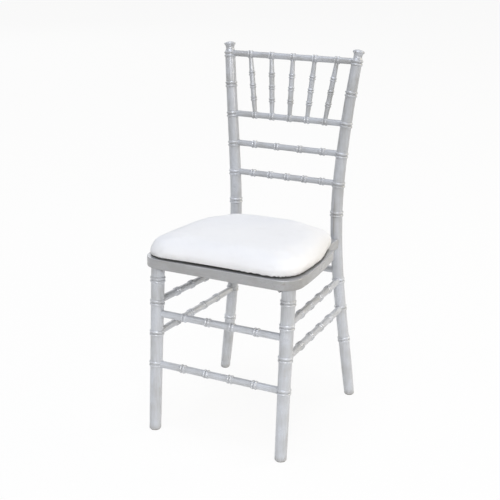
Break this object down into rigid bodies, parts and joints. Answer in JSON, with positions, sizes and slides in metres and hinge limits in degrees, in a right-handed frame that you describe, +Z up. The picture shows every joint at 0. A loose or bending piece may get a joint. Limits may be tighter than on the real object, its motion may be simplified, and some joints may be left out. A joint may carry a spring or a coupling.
{
  "type": "chair",
  "caption": "Turned wooden banquet chair with bamboo-like rings, silver paint, a spindle back and a loose white padded seat cushion.",
  "frame": {"origin": "on the floor, under the middle of the chair's width and depth", "axes": "+Z up, -Y towards the front of the chair where the sitter's legs go, +X to the sitter's left"},
  "size_m": [0.41, 0.4504, 0.92],
  "materials": {
    "silver_paint": "satin silver paint",
    "plywood": "thin silver paint",
    "bare_wood": "bare",
    "steel": "zinc plated",
    "glide_plastic": "matt",
    "black_tape": "hook and loop",
    "black_board": "black paint",
    "foam": "open cell foam",
    "white_cover": "smooth stretch cloth",
    "black_cloth": "nonwoven"
  },
  "bodies": {
    "chair": {"front_leg_left": "silver_paint", "front_leg_right": "silver_paint", "back_post_left": "silver_paint", "back_post_right": "silver_paint", "crest_rail": "silver_paint", "spindle_rail": "silver_paint", "back_rail_upper": "silver_paint", "back_rail_lower": "silver_paint", "spindle_1": "silver_paint", "spindle_2": "silver_paint", "spindle_3": "silver_paint", "spindle_4": "silver_paint", "spindle_5": "silver_paint", "front_stretcher_upper": "silver_paint", "front_stretcher_lower": "silver_paint", "side_stretcher_upper_left": "silver_paint", "side_stretcher_upper_right": "silver_paint", "side_stretcher_lower_left": "silver_paint", "side_stretcher_lower_right": "silver_paint", "rear_stretcher": "silver_paint", "seat_front_board": "silver_paint", "seat_side_board_left": "silver_paint", "seat_side_board_right": "silver_paint", "seat_rear_board": "silver_paint", "glue_block_left": "silver_paint", "glue_block_right": "silver_paint", "seat_panel": "plywood", "seat_dowels": "bare_wood", "post_dowels": "bare_wood", "panel_screws": "steel", "stretcher_brads": "steel", "glide_nails": "steel", "foot_glides": "glide_plastic", "seat_hook_tape": "black_tape"},
    "cushion": {"cushion_cover": "white_cover", "cushion_foam": "foam", "cushion_board": "black_board", "cushion_dust_cloth": "black_cloth", "cushion_loop_tape": "black_tape"}
  },
  "joints": [
    {"name": "cushion_lift", "type": "slide", "parent": "chair", "child": "cushion", "axis": [0, 0, 1], "range_m": [0, 0.5]}
  ]
}
